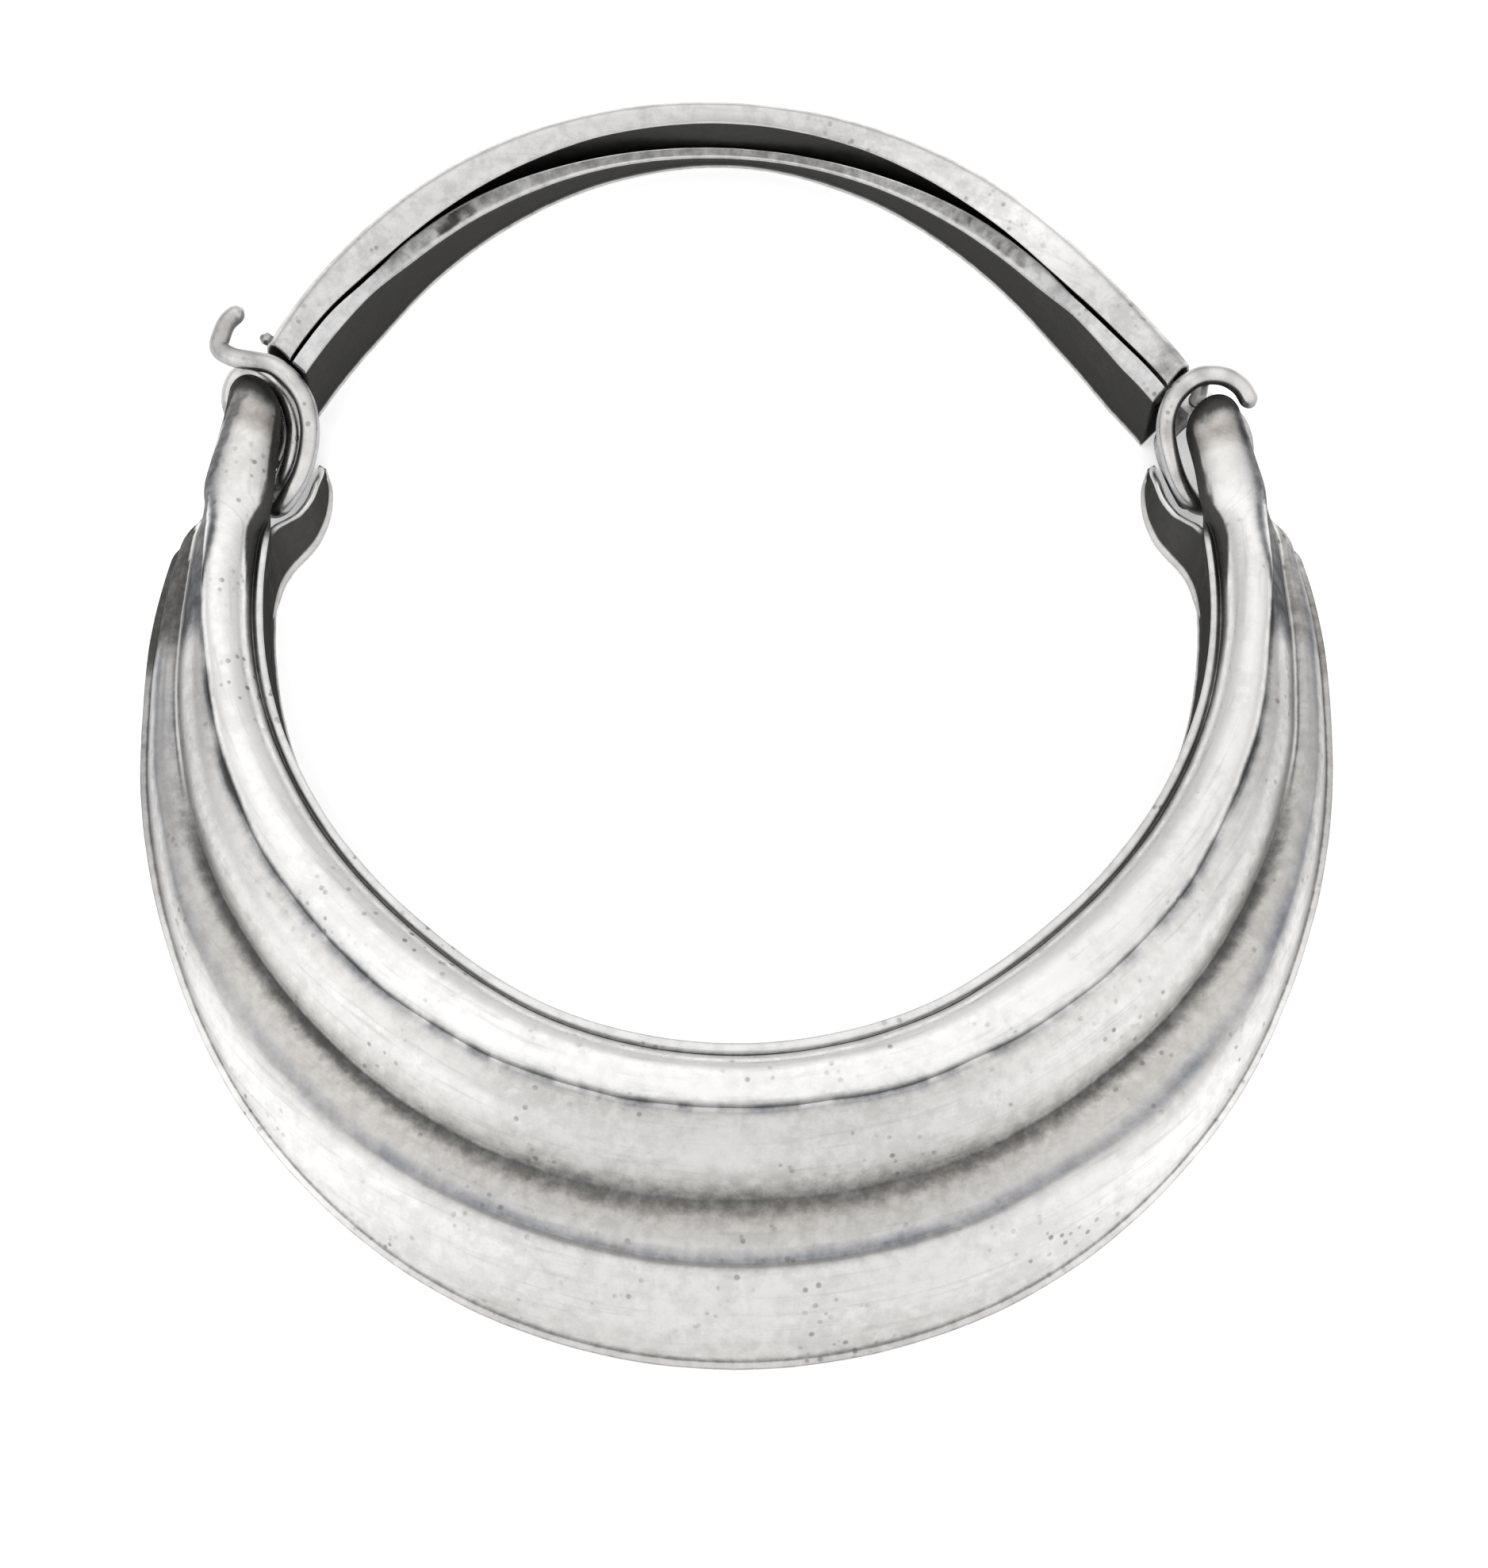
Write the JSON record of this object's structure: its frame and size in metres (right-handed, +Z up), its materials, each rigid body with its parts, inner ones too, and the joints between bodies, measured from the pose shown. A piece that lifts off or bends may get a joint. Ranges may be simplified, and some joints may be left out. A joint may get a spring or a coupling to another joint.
{
  "type": "rigid collar necklace",
  "caption": "Rigid crescent collar of hollow ridged sheet metal, with a slim open-section back that swings on a wire ring and is held by a wire hook.",
  "frame": {"origin": "middle of the footprint, on the surface that the collar lies on", "axes": "+Z up out of that surface, +Y from the broad front towards the slim back, +X towards the hinge"},
  "size_m": [0.162, 0.1804, 0.02],
  "materials": {
    "front_silver": "worn, hand-hammered silver, tarnished in the grooves",
    "back_silver": "worn silver sheet, dark inside",
    "wire_silver": "worn drawn silver wire",
    "plain_silver": "plain dull silver"
  },
  "bodies": {
    "front": {"front_crescent": "front_silver", "hinge_ring": "wire_silver", "hook_wire": "wire_silver", "hinge_pin": "plain_silver"},
    "back": {"back_arc": "back_silver", "hinge_lug": "plain_silver"}
  },
  "joints": [
    {"name": "back_swing", "type": "hinge", "parent": "front", "child": "back", "pos_m": [0.0642, 0.0446, 0.006], "axis": [0, 0, -1], "range_deg": [0, 60]}
  ]
}
